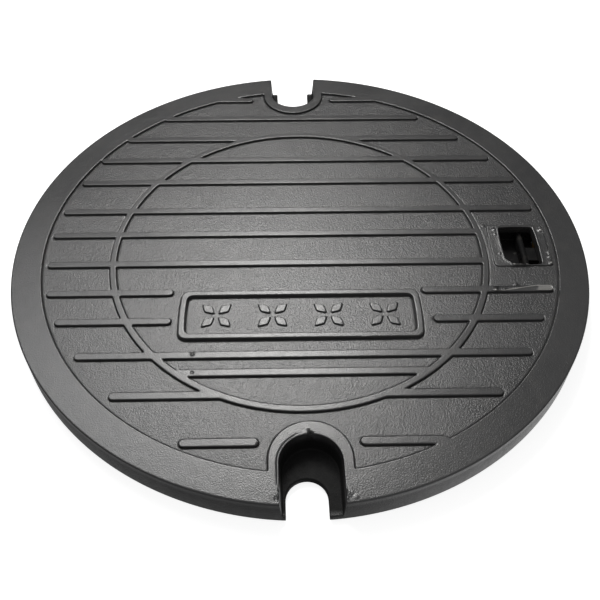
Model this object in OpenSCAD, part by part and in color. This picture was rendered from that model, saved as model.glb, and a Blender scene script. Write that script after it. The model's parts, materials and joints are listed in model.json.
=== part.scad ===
// Round cast-iron access cover with a bar tread, two pry notches at its rim and
// a key window over a sliding anti-theft bolt.
// The cover lies on its rubber seat: the origin is the rim's centre on that
// plane, +Z is up, +X points to the key window.

/* [Rim and plate] */
// Outer diameter of the cover
lid_d = 650; // [600:5:750]
// Height of the iron rim
rim_h = 32; // [32:1:45]
// Rounding of the rim's top edge
rim_round = 1.2; // [1:0.1:4]
// Width of the flat band round the top of the rim
band_w = 32.5; // [28:0.5:40]
// Height of the band, bars and ring above the field
relief_h = 2.5; // [2:0.5:4.5]
// Thickness of the top plate under the field
plate_t = 8; // [6:0.5:8.5]
// Width of the skirt that stands under the rim
skirt_w = 26; // [24:1:28]
// Thickness of the stiffening ribs under the plate
rib_t = 10; // [6:1:16]
// Distance of each rib from the middle of the cover
rib_offset = 100; // [80:5:120]
// Clear height left below the ribs
rib_clear = 8; // [4:1:14]

/* [Rubber seat] */
// Width of the seat rubber
seat_w = 12; // [8:1:14]
// Depth of the groove that holds it
seat_groove = 3; // [2:0.5:4]
// Height that the rubber stands out under the rim
seat_stand = 1.5; // [1:0.5:3]

/* [Tread] */
// Width of a tread bar
bar_w = 8.6; // [6:0.2:12]
// Outer diameter of the tread ring
ring_d = 429; // [400:1:440]
// Width of the tread ring
ring_w = 7; // [5:0.5:10]
// Sideways place of the ring's centre
ring_x = -1; // [-5:0.5:5]
// Fore-and-aft place of the ring's centre
ring_y = -13; // [-16:0.5:0]

/* [Pry notches] */
// Turn of the line through both notches
notch_turn = 1; // [-2:0.5:2]
// Width of a notch at the top
notch_w = 60; // [50:1:64]
// Distance from the middle to the front notch's inner end
front_reach = 252; // [248:1:262]
// Distance from the middle to the rear notch's inner end
rear_reach = 260; // [248:1:262]
// Width of the raised lip beside a notch
lip_side = 10; // [8:0.5:12]
// Width of the raised lip at a notch's inner end
lip_end = 14; // [10:0.5:16]
// Thickness of the iron wall round a notch, under the plate
notch_wall = 8; // [6:1:10]
// Thickness of the ledge that floors a notch
ledge_t = 7; // [5:0.5:10]
// Width of the gap in the front ledge
front_gap_w = 40; // [36:0.5:46]
// Width of the gap in the rear ledge
rear_gap_w = 42.5; // [36:0.5:46]
// How far the front ledge's gap lies off the notch's middle
front_gap_x = -4.5; // [-5:0.5:5]
// Distance from the middle to the gap's inner end
gap_reach = 286; // [280:1:300]

/* [Key window] */
// Width of the window, from the rim inwards
window_w = 40; // [36:1:42]
// Length of the window, along the rim
window_l = 59; // [50:1:60]
// Distance of the window's centre from the middle of the cover
window_x = 253; // [252:1:254]
// Place of the window's centre along the rim
window_y = -7.5; // [-12:0.5:0]
// Side of the raised pad round the window
pad_side = 65.5; // [64:0.5:70]
// Height of the pad above the field
pad_h = 1.5; // [1:0.5:3]

/* [Emblem panel] */
// Length of the panel's raised frame
panel_l = 258; // [240:2:270]
// Width of the panel's raised frame
panel_w = 65.5; // [60:0.5:68]
// Width of the frame's border
panel_border = 7; // [5:0.5:9]
// Height of the frame above the field
panel_rise = 4; // [3:0.5:6]
// Place of the panel's centre, fore and aft
panel_y = -106; // [-110:1:-100]
// Height of the diamonds in the panel
diamond_h = 2; // [1.5:0.5:4]

/* [Lock] */
// How far the bolt slides out
bolt_travel = 12; // [6:1:12]
// Width of the bolt
bolt_w = 20; // [18:1:28]
// Thickness of the bolt
bolt_h = 9; // [8:0.5:9]
// Gap between bolt and guide on each face
bolt_gap = 0.1; // [0.05:0.01:0.1]
// Thickness of the pocket's cast walls
pocket_wall = 6; // [5:0.5:8]
// Thickness of the steel pan that closes the pocket
pan_t = 2.5; // [2:0.5:2.5]
// Thickness of the pan's gasket
pan_gasket_t = 1; // [0.5:0.25:1]
// Diameter of the pan's drain hole
drain_d = 8; // [5:1:10]

/* [Hidden] */
$fa = 3;
$fs = 0.8;
eps = 0.5;

// Levels
iron_z = seat_stand;
top_z = iron_z + rim_h;
field_z = top_z - relief_h;
plate_z = field_z - plate_t;

// Radii
lid_r = lid_d / 2;
band_r = lid_r - band_w;
skirt_r = lid_r - skirt_w;
ring_r = ring_d / 2;

// Tread bars: place of the centre line, then left and right end
bar_rows = [
    [276, -126, -60], [276, 45, 108],
    [235, -178, 163],
    [191, -222, -60], [191, 56, 211],
    [149, -250, 244],
    [107, -268, 268],
    [55.5, -282, 280],
    [16, -287, 212],
    [-30.5, -285, 211],
    [-73.5, -278, -140], [-73.5, 132, 277],
    [-113.5, -262, -139], [-113.5, 140, 258],
    [-158.5, -234, 236],
    [-180.5, -130, 128],
    [-207, -192, -80], [-207, 78, 197],
    [-260, -119, -44], [-260, 52, 136]
];

// Seat rubber: an arc on each side that stops short of the notches
seat_r = lid_r - skirt_w / 2;
seat_stop = 9;
seat_arc = 180 - 2 * seat_stop;
seat_top = iron_z + seat_groove;
right_turn = notch_turn - 90 + seat_stop;
left_turn = right_turn + 180;

// Pad and panel
pad_x = window_x - 1;
pad_y = window_y + 1;
pad_corner = 4;
window_corner = 3;
panel_x = -1.5;
panel_corner = 9;
panel_inner_corner = 6;
diamond_sets = 4;
diamond_pitch = 60;
diamond_l = 20;
diamond_w = 11;
diamond_reach = 12.5;

// Lock pocket
lock_y = window_y - 2;
pocket_x0 = 226;
pocket_x1 = 288;
pocket_l = 74;
pan_z = 3;
pan_top = pan_z + pan_t;
pocket_z = pan_top + pan_gasket_t;
pan_x0 = pocket_x0 - pocket_wall;
pan_x1 = 292.5;
pan_l = pocket_l + 2 * pocket_wall;
ear_r = 7;
pan_hole_x = [pan_x0 + ear_r, pan_x1 - ear_r];
pan_hole_y = [lock_y - pan_l / 2, lock_y + pan_l / 2];
pan_screw_r = 2.5;
pan_head_r = 5;
pan_head_t = pan_t - 0.5;
pan_screw_l = 13;
pan_socket = [3, 2];
drain_inset = 18;

// Bolt and pull bar, at rest with the bolt drawn in
sleeve_w = bolt_w + 5;
sleeve_h = bolt_h + 3.2;
slot_floor = 2.6;
lock_z = pocket_z + slot_floor + sleeve_h / 2;
nose_x = 322;
bar_x = 256.5;
bar_t = 7;
bar_l = 68;
bar_clear = 0.5;
bar_top = plate_z - bar_clear;
tail_x = bar_x + bar_t;
bolt_z = lock_z - bolt_h / 2;
nose_chamfer = 2.5;
pull_screw_y = 6;
pull_screw_r = 2.5;
pull_head_r = 4.25;
pull_head_t = 4;
pull_screw_l = 15;
pull_socket = [4, 2.5];
stop_t = 5.8;
stop_reach = 5.5;
stop_gap = 0.1;
stop_z = 12;

// Guide: a flange in the pocket and a sleeve through the skirt
flange_x = 276.5;
flange_l = 69;
sleeve_x = 314;
seal_t = 4;
mouth_gap = 0.5;
guide_screw_y = 26;
guide_screw_z = lock_z - 3.2;
guide_screw_r = 1.5;
guide_head_r = 2.75;
guide_head_t = 3;
guide_screw_end = 300;
guide_socket = [2.5, 1.5];
seal_gap = 0.05;

// Detent: ball, spring and screw in the side of the guide's flange
detent_x = 284.9;
detent_z = lock_z + 1.6;
detent_r = 2.6;
ball_r = 2.5;
ball_out = 1.6;
ball_y = lock_y - bolt_w / 2 - ball_out;
spring_l = 7;
spring_end_y = ball_y - ball_r - spring_l;
detent_screw_l = 7;
detent_socket = [2.5, 3];
spring_wire = 0.7;
spring_turns = 6;

iron = [0.16, 0.16, 0.165];
rubber = [0.06, 0.06, 0.06];
steel = [0.62, 0.63, 0.65];
blackened = [0.13, 0.13, 0.135];
bronze = [0.62, 0.46, 0.24];

// A block with rounded upright corners, centred on x and y
module rounded_block(l, w, h, r) {
    linear_extrude(h) {
        square([l - 2 * r, w], center = true);
        square([l, w - 2 * r], center = true);
        for (sx = [-1, 1], sy = [-1, 1])
            translate([sx * (l / 2 - r), sy * (w / 2 - r)]) circle(r);
    }
}

// A U-shaped prism that opens outwards along -Y; its round end is at reach
module u_prism(w, reach, h) {
    translate([0, -reach - w / 2, 0]) cylinder(d = w, h = h);
    translate([-w / 2, -lid_d, 0]) cube([w, lid_d - reach - w / 2, h]);
}

// Its children, placed at the front and at the rear notch
module at_notches() {
    rotate([0, 0, notch_turn]) {
        $reach = front_reach;
        $gap_w = front_gap_w;
        $gap_x = front_gap_x;
        children();
    }
    rotate([0, 0, notch_turn + 180]) {
        $reach = rear_reach;
        $gap_w = rear_gap_w;
        $gap_x = 0;
        children();
    }
}

// A shaft along +X
module x_rod(r, l) {
    rotate([0, 90, 0]) cylinder(r = r, h = l);
}

// The six-sided socket of a screw, into +Z; size is [across flats, depth]
module socket(size) {
    translate([0, 0, -eps]) cylinder(r = size[0] / sqrt(3), h = size[1] + eps, $fn = 6);
}

// A round-wire compression spring along -Y, standing on y = 0
module coil_spring(r, wire, l, turns) {
    sides = 8;
    per_turn = 14;
    rings = turns * per_turn;
    rise = (l - wire) / rings;
    points = [
        for (i = [0:rings], k = [0:sides - 1])
            let (
                a = 360 * i / per_turn,
                b = 360 * k / sides,
                d = r + wire / 2 * cos(b)
            )
            [d * cos(a), -wire / 2 - i * rise - wire / 2 * sin(b), d * sin(a)]
    ];
    walls = [
        for (i = [0:rings - 1], k = [0:sides - 1])
            let (n = (k + 1) % sides)
            [i * sides + k, i * sides + n, (i + 1) * sides + n, (i + 1) * sides + k]
    ];
    start = [for (k = [sides - 1:-1:0]) k];
    end = [for (k = [0:sides - 1]) rings * sides + k];
    polyhedron(points, concat([start], walls, [end]), convexity = 10);
}

// The rim: skirt, flat band and rounded top edge
module rim() {
    rotate_extrude() {
        translate([skirt_r, iron_z]) square([skirt_w, rim_h - rim_round]);
        translate([skirt_r, iron_z]) square([skirt_w - rim_round, rim_h]);
        translate([band_r, plate_z]) square([skirt_r - band_r + eps, top_z - plate_z]);
        translate([lid_r - rim_round, top_z - rim_round]) circle(rim_round);
    }
}

// Bars and ring that stand on the field
module tread() {
    translate([0, 0, field_z - eps]) linear_extrude(relief_h + eps) {
        for (row = bar_rows) {
            translate([row[1] + bar_w / 2, row[0] - bar_w / 2])
                square([row[2] - row[1] - bar_w, bar_w]);
            for (x = [row[1] + bar_w / 2, row[2] - bar_w / 2])
                translate([x, row[0]]) circle(d = bar_w);
        }
    }
    translate([ring_x, ring_y, field_z - eps]) difference() {
        cylinder(r = ring_r, h = relief_h + eps);
        translate([0, 0, -eps]) cylinder(r = ring_r - ring_w, h = relief_h + 3 * eps);
    }
}

// Framed panel with four groups of plain diamonds
module emblem_panel() {
    translate([panel_x, panel_y, field_z - eps]) {
        difference() {
            rounded_block(panel_l, panel_w, panel_rise + eps, panel_corner);
            translate([0, 0, -eps])
                rounded_block(
                    panel_l - 2 * panel_border, panel_w - 2 * panel_border,
                    panel_rise + 3 * eps, panel_inner_corner
                );
        }
        for (i = [0:diamond_sets - 1])
            translate([(i - (diamond_sets - 1) / 2) * diamond_pitch, 0, 0])
                diamond_group();
    }
}

// Four diamonds that point away from one middle
module diamond_group() {
    for (a = [45:90:315])
        rotate([0, 0, a]) translate([diamond_reach, 0, 0]) linear_extrude(diamond_h + eps)
            polygon([
                [-diamond_l / 2, 0], [0, -diamond_w / 2],
                [diamond_l / 2, 0], [0, diamond_w / 2]
            ]);
}

// Straight ribs under the plate, two each way
module ribs() {
    intersection() {
        translate([0, 0, rib_clear]) cylinder(r = skirt_r + eps, h = plate_z - rib_clear + eps);
        for (turn = [0, 90], side = [-1, 1])
            rotate([0, 0, turn]) translate([-lid_r, side * rib_offset - rib_t / 2, 0])
                cube([lid_d, rib_t, plate_z + 2 * eps]);
    }
}

// Walls and screw bosses round the lock pocket
module pocket_body() {
    wall_h = plate_z - pocket_z + eps;
    intersection() {
        translate([0, 0, pocket_z]) {
            pan_outline(wall_h);
            translate([pocket_x1, lock_y - pan_l / 2, 0]) cube([lid_r - pocket_x1, pan_l, wall_h]);
            for (y = pan_hole_y)
                translate([pan_hole_x[1], y - ear_r, 0]) cube([lid_r - pan_hole_x[1], 2 * ear_r, wall_h]);
        }
        cylinder(r = skirt_r + eps, h = top_z);
    }
}

// Outline of the pocket pan: a rectangle with an ear at each screw
module pan_outline(h) {
    linear_extrude(h) {
        translate([pan_x0, lock_y - pan_l / 2]) square([pan_x1 - pan_x0, pan_l]);
        for (x = pan_hole_x, y = pan_hole_y) translate([x, y]) circle(ear_r);
    }
}

module pocket_cavity() {
    translate([pocket_x0, lock_y - pocket_l / 2, pan_top])
        cube([pocket_x1 - pocket_x0, pocket_l, plate_z - pan_top]);
    translate([window_x, window_y, plate_z - eps])
        rounded_block(window_w, window_l, top_z, window_corner);
}

// Stepped slot through the skirt: guide sleeve, seal, then the bolt's mouth
module bolt_slot() {
    translate([pocket_x1 - eps, lock_y - sleeve_w / 2, lock_z - sleeve_h / 2])
        cube([sleeve_x + seal_t - pocket_x1 + eps, sleeve_w, sleeve_h]);
    translate([sleeve_x, lock_y - bolt_w / 2 - mouth_gap, bolt_z - mouth_gap])
        cube([lid_r, bolt_w + 2 * mouth_gap, bolt_h + 2 * mouth_gap]);
}

// Two lugs that stop the pull bar when the bolt is drawn in
module stop_lugs() {
    for (side = [-1, 1])
        translate([
            bar_x - stop_gap - stop_t,
            lock_y + side * (pocket_l / 2 - stop_reach / 2) - stop_reach / 2,
            stop_z
        ])
            cube([stop_t, stop_reach, plate_z - stop_z + eps]);
}

// One arc of the seat rubber, which starts at the given turn
module seat_ring(turn) {
    rotate([0, 0, turn]) rotate_extrude(angle = seat_arc)
        translate([seat_r - seat_w / 2, 0]) square([seat_w, seat_top]);
}

module pan_holes(r, z, h) {
    for (x = pan_hole_x, y = pan_hole_y)
        translate([x, y, z]) cylinder(r = r, h = h);
}

module cover() {
    color(iron) {
        difference() {
            union() {
                rim();
                translate([0, 0, plate_z]) cylinder(r = skirt_r + eps, h = plate_t);
                tread();
                emblem_panel();
                ribs();
                pocket_body();
                translate([pad_x, pad_y, field_z - eps])
                    rounded_block(pad_side, pad_side, pad_h + eps, pad_corner);
                intersection() {
                    cylinder(r = lid_r - rim_round, h = top_z);
                    at_notches() {
                        translate([0, 0, field_z - eps])
                            u_prism(notch_w + 2 * lip_side, $reach - lip_end, relief_h + eps);
                        translate([0, 0, iron_z])
                            u_prism(notch_w + 2 * notch_wall, $reach - notch_wall, field_z - iron_z);
                    }
                }
            }
            at_notches() {
                translate([0, 0, iron_z + ledge_t]) u_prism(notch_w, $reach, rim_h);
                translate([$gap_x, 0, 0]) u_prism($gap_w, gap_reach, rim_h);
            }
            pocket_cavity();
            bolt_slot();
            pan_holes(pan_screw_r, 0, pan_z + pan_screw_l);
            for (side = [-1, 1])
                translate([pocket_x1 - eps, lock_y + side * guide_screw_y, guide_screw_z])
                    x_rod(guide_screw_r, guide_screw_end - pocket_x1 + eps);
            seat_ring(right_turn);
            seat_ring(left_turn);
        }
        stop_lugs();
    }
}

module seat_rubber_left() {
    color(rubber) seat_ring(left_turn);
}

module seat_rubber_right() {
    color(rubber) seat_ring(right_turn);
}

module lock_bolt() {
    color(blackened) difference() {
        translate([0, lock_y + bolt_w / 2, 0]) rotate([90, 0, 0]) linear_extrude(bolt_w)
            polygon([
                [tail_x, bolt_z], [nose_x - nose_chamfer, bolt_z],
                [nose_x, bolt_z + nose_chamfer], [nose_x, bolt_z + bolt_h - nose_chamfer],
                [nose_x - nose_chamfer, bolt_z + bolt_h], [tail_x, bolt_z + bolt_h]
            ]);
        for (side = [-1, 1])
            translate([tail_x - eps, lock_y + side * pull_screw_y, lock_z])
                x_rod(pull_screw_r, pull_screw_l - bar_t + pull_head_t + eps);
        translate([detent_x - bolt_travel - 2 * ball_r, ball_y, detent_z])
            x_rod(detent_r, bolt_travel + 4 * ball_r);
    }
}

module pull_bar() {
    color(blackened) difference() {
        translate([0, lock_y + bar_l / 2, 0]) rotate([90, 0, 0]) linear_extrude(bar_l) {
            translate([bar_x, bolt_z]) square([bar_t, bar_top - bar_t / 2 - bolt_z]);
            translate([bar_x + bar_t / 2, bar_top - bar_t / 2]) circle(d = bar_t);
        }
        for (side = [-1, 1]) translate([bar_x, lock_y + side * pull_screw_y, lock_z]) {
            translate([-eps, 0, 0]) x_rod(pull_head_r, pull_head_t + eps);
            x_rod(pull_screw_r, bar_t + eps);
        }
    }
}

module pull_bar_screws() {
    color(blackened)
        for (side = [-1, 1]) translate([bar_x, lock_y + side * pull_screw_y, lock_z])
            difference() {
                union() {
                    x_rod(pull_head_r, pull_head_t);
                    x_rod(pull_screw_r, pull_head_t + pull_screw_l);
                }
                rotate([0, 90, 0]) socket(pull_socket);
            }
}

module bolt_guide() {
    opening_w = bolt_w + 2 * bolt_gap;
    opening_h = bolt_h + 2 * bolt_gap;
    color(bronze) difference() {
        union() {
            translate([flange_x, lock_y - flange_l / 2, lock_z - sleeve_h / 2])
                cube([pocket_x1 - flange_x, flange_l, sleeve_h]);
            translate([flange_x, lock_y - sleeve_w / 2, lock_z - sleeve_h / 2])
                cube([sleeve_x - flange_x, sleeve_w, sleeve_h]);
        }
        translate([flange_x - eps, lock_y - opening_w / 2, lock_z - opening_h / 2])
            cube([sleeve_x - flange_x + 2 * eps, opening_w, opening_h]);
        for (side = [-1, 1])
            translate([flange_x, lock_y + side * guide_screw_y, guide_screw_z]) {
                translate([-eps, 0, 0]) x_rod(guide_head_r, guide_head_t + eps);
                x_rod(guide_screw_r, pocket_x1 - flange_x + eps);
            }
        translate([detent_x, lock_y - bolt_w / 2, detent_z])
            rotate([90, 0, 0]) cylinder(r = detent_r, h = flange_l);
    }
}

module guide_screws() {
    color(steel)
        for (side = [-1, 1])
            translate([flange_x, lock_y + side * guide_screw_y, guide_screw_z])
                difference() {
                    union() {
                        x_rod(guide_head_r, guide_head_t);
                        x_rod(guide_screw_r, guide_screw_end - flange_x);
                    }
                    rotate([0, 90, 0]) socket(guide_socket);
                }
}

module bolt_seal() {
    opening_w = bolt_w + 2 * seal_gap;
    opening_h = bolt_h + 2 * seal_gap;
    color(rubber) difference() {
        translate([sleeve_x, lock_y - sleeve_w / 2, lock_z - sleeve_h / 2])
            cube([seal_t, sleeve_w, sleeve_h]);
        translate([sleeve_x - eps, lock_y - opening_w / 2, lock_z - opening_h / 2])
            cube([seal_t + 2 * eps, opening_w, opening_h]);
    }
}

module detent_ball() {
    color(steel) translate([detent_x, ball_y, detent_z]) sphere(ball_r);
}

module detent_spring() {
    color(steel) translate([detent_x, ball_y - ball_r, detent_z])
        coil_spring(detent_r - spring_wire, spring_wire, ball_y - ball_r - spring_end_y, spring_turns);
}

module detent_screw() {
    color(steel) translate([detent_x, spring_end_y - detent_screw_l, detent_z]) rotate([-90, 0, 0])
        difference() {
            cylinder(r = detent_r, h = detent_screw_l);
            socket(detent_socket);
        }
}

module pocket_pan() {
    color(iron) difference() {
        translate([0, 0, pan_z]) pan_outline(pan_t);
        pan_holes(pan_screw_r, pan_z - eps, pan_t + 2 * eps);
        for (x = pan_hole_x, y = pan_hole_y) translate([x, y, pan_z])
            cylinder(r1 = pan_head_r, r2 = pan_screw_r, h = pan_head_t);
        translate([pan_x0 + drain_inset, lock_y, pan_z - eps])
            cylinder(d = drain_d, h = pan_t + 2 * eps);
    }
}

module pan_gasket() {
    color(rubber) difference() {
        translate([0, 0, pan_top]) pan_outline(pan_gasket_t);
        translate([pocket_x0, lock_y - pocket_l / 2, pan_top - eps])
            cube([pocket_x1 - pocket_x0, pocket_l, pan_gasket_t + 2 * eps]);
        pan_holes(pan_screw_r, pan_top - eps, pan_gasket_t + 2 * eps);
    }
}

module pan_screws() {
    color(steel) for (x = pan_hole_x, y = pan_hole_y) translate([x, y, pan_z])
        difference() {
            union() {
                cylinder(r1 = pan_head_r, r2 = pan_screw_r, h = pan_head_t);
                cylinder(r = pan_screw_r, h = pan_screw_l);
            }
            socket(pan_socket);
        }
}

cover();
seat_rubber_left();
seat_rubber_right();
lock_bolt();
pull_bar();
pull_bar_screws();
bolt_guide();
guide_screws();
bolt_seal();
detent_ball();
detent_spring();
detent_screw();
pocket_pan();
pan_gasket();
pan_screws();
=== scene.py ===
"""The look of a round cast-iron manhole cover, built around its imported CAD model.

The casting is one detailed mesh. Its outlines are read from the CAD casting, level
by level, and every edge then gets the draft, the rounding and the fillet that a
sand casting has. The lock, the rubbers and the pan stay as the CAD nodes, with
softened edges and their own materials.
"""

import json
import math
from functools import partial

import bpy
import numpy as np
from mathutils import Matrix, Vector
from mathutils.geometry import delaunay_2d_cdt


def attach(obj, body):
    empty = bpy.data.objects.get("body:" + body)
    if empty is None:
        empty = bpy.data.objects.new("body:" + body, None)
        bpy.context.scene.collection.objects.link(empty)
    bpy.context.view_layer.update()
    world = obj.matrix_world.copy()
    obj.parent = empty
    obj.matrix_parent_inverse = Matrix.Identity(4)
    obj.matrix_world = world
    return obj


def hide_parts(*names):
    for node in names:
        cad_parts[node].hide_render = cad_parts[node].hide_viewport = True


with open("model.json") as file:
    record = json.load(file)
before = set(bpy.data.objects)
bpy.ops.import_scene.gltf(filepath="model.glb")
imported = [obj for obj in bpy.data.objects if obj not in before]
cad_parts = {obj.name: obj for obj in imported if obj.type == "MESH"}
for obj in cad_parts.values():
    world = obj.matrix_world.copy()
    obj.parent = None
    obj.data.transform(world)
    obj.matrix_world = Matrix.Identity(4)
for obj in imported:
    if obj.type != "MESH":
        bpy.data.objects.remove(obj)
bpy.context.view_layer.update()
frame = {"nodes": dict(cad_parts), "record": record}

# ---------------------------------------------------------------- casting: sizes
# The casting is worked out in millimetres and scaled once, when its mesh is made.

MM = 0.001
CELL = 1.0  # spacing of the plan grid
GRID_EDGE = 340.013  # half the grid's side, off the round numbers of the outlines
GRID = np.arange(-GRID_EDGE, GRID_EDGE, CELL)
SOFTEN = 0.9  # how far corners in plan melt into each other

# Heights of the CAD casting's flats above the seat
FLOOR_LEVEL = 8.5  # top of the ledge in the notches
FIELD_LEVEL = 31.0
RELIEF_LEVEL = 33.5  # band, lips, bars and ring
PANEL_LEVEL = 35.0
DIAMOND_LEVEL = 33.0
PAD_LEVEL = 32.5
PLATE_LEVEL = 23.0  # underside of the plate
FOOT_LEVEL = 1.5  # underside of the rim
GROOVE_LEVEL = 4.5
POCKET_LEVEL = 6.5
RIB_LEVEL = 8.0
LUG_LEVEL = 12.0

INSIDE_BOX = 0.99996  # keeps the true circle inside the box of the CAD's facets
SMALLEST_LOOP = 12.0  # screw holes are hidden by their screws, so they are left out
RIM_ROUND = 1.2
FOOT_ROUND = 1.0
WINDOW_ROUND = 0.8

# The fine crease at the foot of a raised edge
CREASE_DEPTH = 0.45
CREASE_WIDTH = 0.6

# The ridge of coating round the window, and the flash in the window's corner
RIDGE_HEIGHT = 0.6
RIDGE_PLACE = 1.3
RIDGE_WIDTH = 0.8
RIDGE_LINES = [2.2, 3.2]
FLASH_REACH = 10.0  # both ways added

# The worn bar: what is left of it is a wedge with a thin burr round it
WORN_X = (219.0, 264.0)  # where the wedge starts, and where the bar is whole
WORN_WIDTH = (1.0, 10.0)  # its width at those two places
WORN_Y = -77.8  # its near edge
WORN_SLOPE = 1.2  # width of its slanted side
BURR_HEIGHT = 0.7
BURR_WIDTH = 0.7

# The fold in the inner side of the front notch's left lip
FOLD_SIDE = -4.0  # it starts on this side of the middle
FOLD_ENDS = (-250.0, -308.0)
FOLD_PLACE = 2.2
FOLD_DEPTH = 0.5
FOLD_WIDTH = 0.5

# Lumps and pits left by the sand mould and the coating: x, y, radius, height
BLEMISHES = [
    (228, 18, 2.6, 1.1),
    (228, 10.5, 2.2, 0.9),
    (228, -20, 2.4, 1.1),
    (217, 26, 2.4, 1.0),
    (282, 16, 4.0, 1.7),
    (283, 21, 2.2, 0.6),
    (284, -19.5, 2.4, 1.0),
    (283, -27, 2.6, 1.1),
    (283, -36, 3.0, 1.8),
    (241, -38.2, 2.8, 2.0),
    (247, -38.4, 2.2, 1.8),
    (251, -38.2, 1.8, 1.4),
    (255, -38.4, 2.2, 1.9),
    (223, -73, 3.0, 1.8),
    (213, -76, 2.6, 1.2),
    (238, -66, 2.4, 0.9),
    (66, -138, 2.2, 1.2),
    (-113, -158, 2.8, 1.0),
    (-112, -180, 2.4, -0.8),
    (-45, -262, 2.0, -0.6),
    (38, -313, 4.0, 0.7),
    (36, -318, 2.4, 0.5),
    (44, -317, 3.0, 0.4),
    (-27, -318, 3.2, -0.6),
    (-24.5, -309, 2.2, 0.9),
    (5, -251.5, 3.0, -3.0),
    (3, -247.5, 2.0, 0.7),
]


def ridge(off, width):
    """The section of a soft ridge: one at its middle, nought some widths off."""
    return np.exp(-((off / width) ** 2))


class Edge:
    """The section of a raised feature's edge: rounded top, drafted wall, root fillet.

    Distances are measured outwards from the CAD outline. shift moves the section out.
    """

    def __init__(self, height, top_r, root_r, draft, shift=0.0):
        lean = math.radians(draft)
        self.height, self.top_r, self.root_r = height, top_r, root_r
        self.wall_top = height - top_r * (1 - math.sin(lean))
        self.wall_foot = root_r * (1 - math.sin(lean))
        run = (self.wall_top - self.wall_foot) * math.tan(lean)
        self.start = shift - run / 2
        self.end = shift + run / 2
        self.top_edge = self.start - top_r * math.cos(lean)
        self.root_edge = self.end + root_r * math.cos(lean)

    def height_at(self, d):
        over_top = np.clip(d - self.top_edge, 0, self.top_r)
        top = self.height - self.top_r + np.sqrt(self.top_r**2 - over_top**2)
        over_root = np.clip(self.root_edge - d, 0, self.root_r)
        root = self.root_r - np.sqrt(self.root_r**2 - over_root**2)
        along = np.clip((d - self.start) / (self.end - self.start), 0, 1)
        wall = self.wall_top + (self.wall_foot - self.wall_top) * along
        return np.where(d <= self.start, top, np.where(d >= self.end, root, wall))

    def crease_at(self, d):
        """Depth of the fine crease that the mould leaves at the foot of the edge."""
        return CREASE_DEPTH * ridge(d - self.root_edge, CREASE_WIDTH)

    def lines(self, coarse=False):
        """Distances at which the mesh needs a row of points."""
        top, root = self.top_r, self.root_r
        if coarse:
            middle_of_root = self.root_edge - 0.5 * root
            return [self.top_edge, self.start, self.end, middle_of_root, self.root_edge]
        return [
            self.top_edge - 0.7,
            self.top_edge,
            self.top_edge + 0.5 * top,
            self.top_edge + 0.87 * top,
            self.start,
            self.end,
            self.root_edge - 0.87 * root,
            self.root_edge - 0.5 * root,
            self.root_edge,
            self.root_edge + 0.6,
            self.root_edge + 1.2,
            self.root_edge + 2.2,
        ]


RELIEF_EDGE = Edge(RELIEF_LEVEL - FIELD_LEVEL, 0.8, 0.45, 8)
PANEL_EDGE = Edge(PANEL_LEVEL - FIELD_LEVEL, 1.1, 0.6, 7)
DIAMOND_EDGE = Edge(DIAMOND_LEVEL - FIELD_LEVEL, 0.8, 0.6, 12)
PAD_EDGE = Edge(PAD_LEVEL - FIELD_LEVEL, 0.8, 0.7, 25)
NOTCH_EDGE = Edge(RELIEF_LEVEL - FLOOR_LEVEL, 0.9, 1.6, 4.5, shift=1.0)
FOOT_EDGE = Edge(PLATE_LEVEL - FOOT_LEVEL, 1.6, 5.0, 2)
RIB_EDGE = Edge(PLATE_LEVEL - RIB_LEVEL, 2.0, 4.5, 2.5)
POCKET_EDGE = Edge(PLATE_LEVEL - POCKET_LEVEL, 0.8, 1.6, 1.5)
LUG_EDGE = Edge(PLATE_LEVEL - LUG_LEVEL, 0.8, 1.0, 2)


# ------------------------------------------------------------ casting: CAD outlines


def node_triangles(name):
    """The triangles of a CAD node, in millimetres, as an array of corners."""
    mesh = frame["nodes"][name].data
    mesh.calc_loop_triangles()
    places = np.empty(len(mesh.vertices) * 3)
    mesh.vertices.foreach_get("co", places)
    corners = np.empty(len(mesh.loop_triangles) * 3, int)
    mesh.loop_triangles.foreach_get("vertices", corners)
    return places.reshape(-1, 3)[corners].reshape(-1, 3, 3) / MM


def flat_loops(triangles, level, up):
    """Closed outlines of the flat faces at one level that face up or down."""
    side_a = triangles[:, 1] - triangles[:, 0]
    side_b = triangles[:, 2] - triangles[:, 0]
    turn = side_a[:, 0] * side_b[:, 1] - side_a[:, 1] * side_b[:, 0]
    flat = np.abs(triangles[:, :, 2] - level).max(1) < 0.02
    chosen = triangles[flat & ((turn > 0) == up)][:, :, :2]
    place_of, following = {}, {}
    for corners in chosen:
        keys = [tuple(key) for key in np.round(corners * 50).astype(int).tolist()]
        place_of.update(zip(keys, corners))
        for start, end in zip(keys, keys[1:] + keys[:1]):
            if start in following.get(end, ()):
                following[end].remove(start)
            else:
                following.setdefault(start, []).append(end)
    loops = []
    for first in list(following):
        while following[first]:
            keys = [first]
            while True:
                keys.append(following[keys[-1]].pop())
                if keys[-1] == first:
                    break
            loops.append(np.array([place_of[key] for key in keys[:-1]]))
    return [filled_arcs(loop) for loop in loops if np.ptp(loop, axis=0).max() > SMALLEST_LOOP]


def circle_centres(before, at, after):
    """Centre of the circle through each corner of a loop and its two neighbours."""
    a, b = before - at, after - at
    double = 2 * (a[:, 0] * b[:, 1] - a[:, 1] * b[:, 0])
    double = np.where(np.abs(double) < 1e-9, 1e-9, double)
    a2, b2 = (a**2).sum(1), (b**2).sum(1)
    x = (b[:, 1] * a2 - a[:, 1] * b2) / double
    y = (a[:, 0] * b2 - b[:, 0] * a2) / double
    return at + np.stack([x, y], 1)


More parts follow.
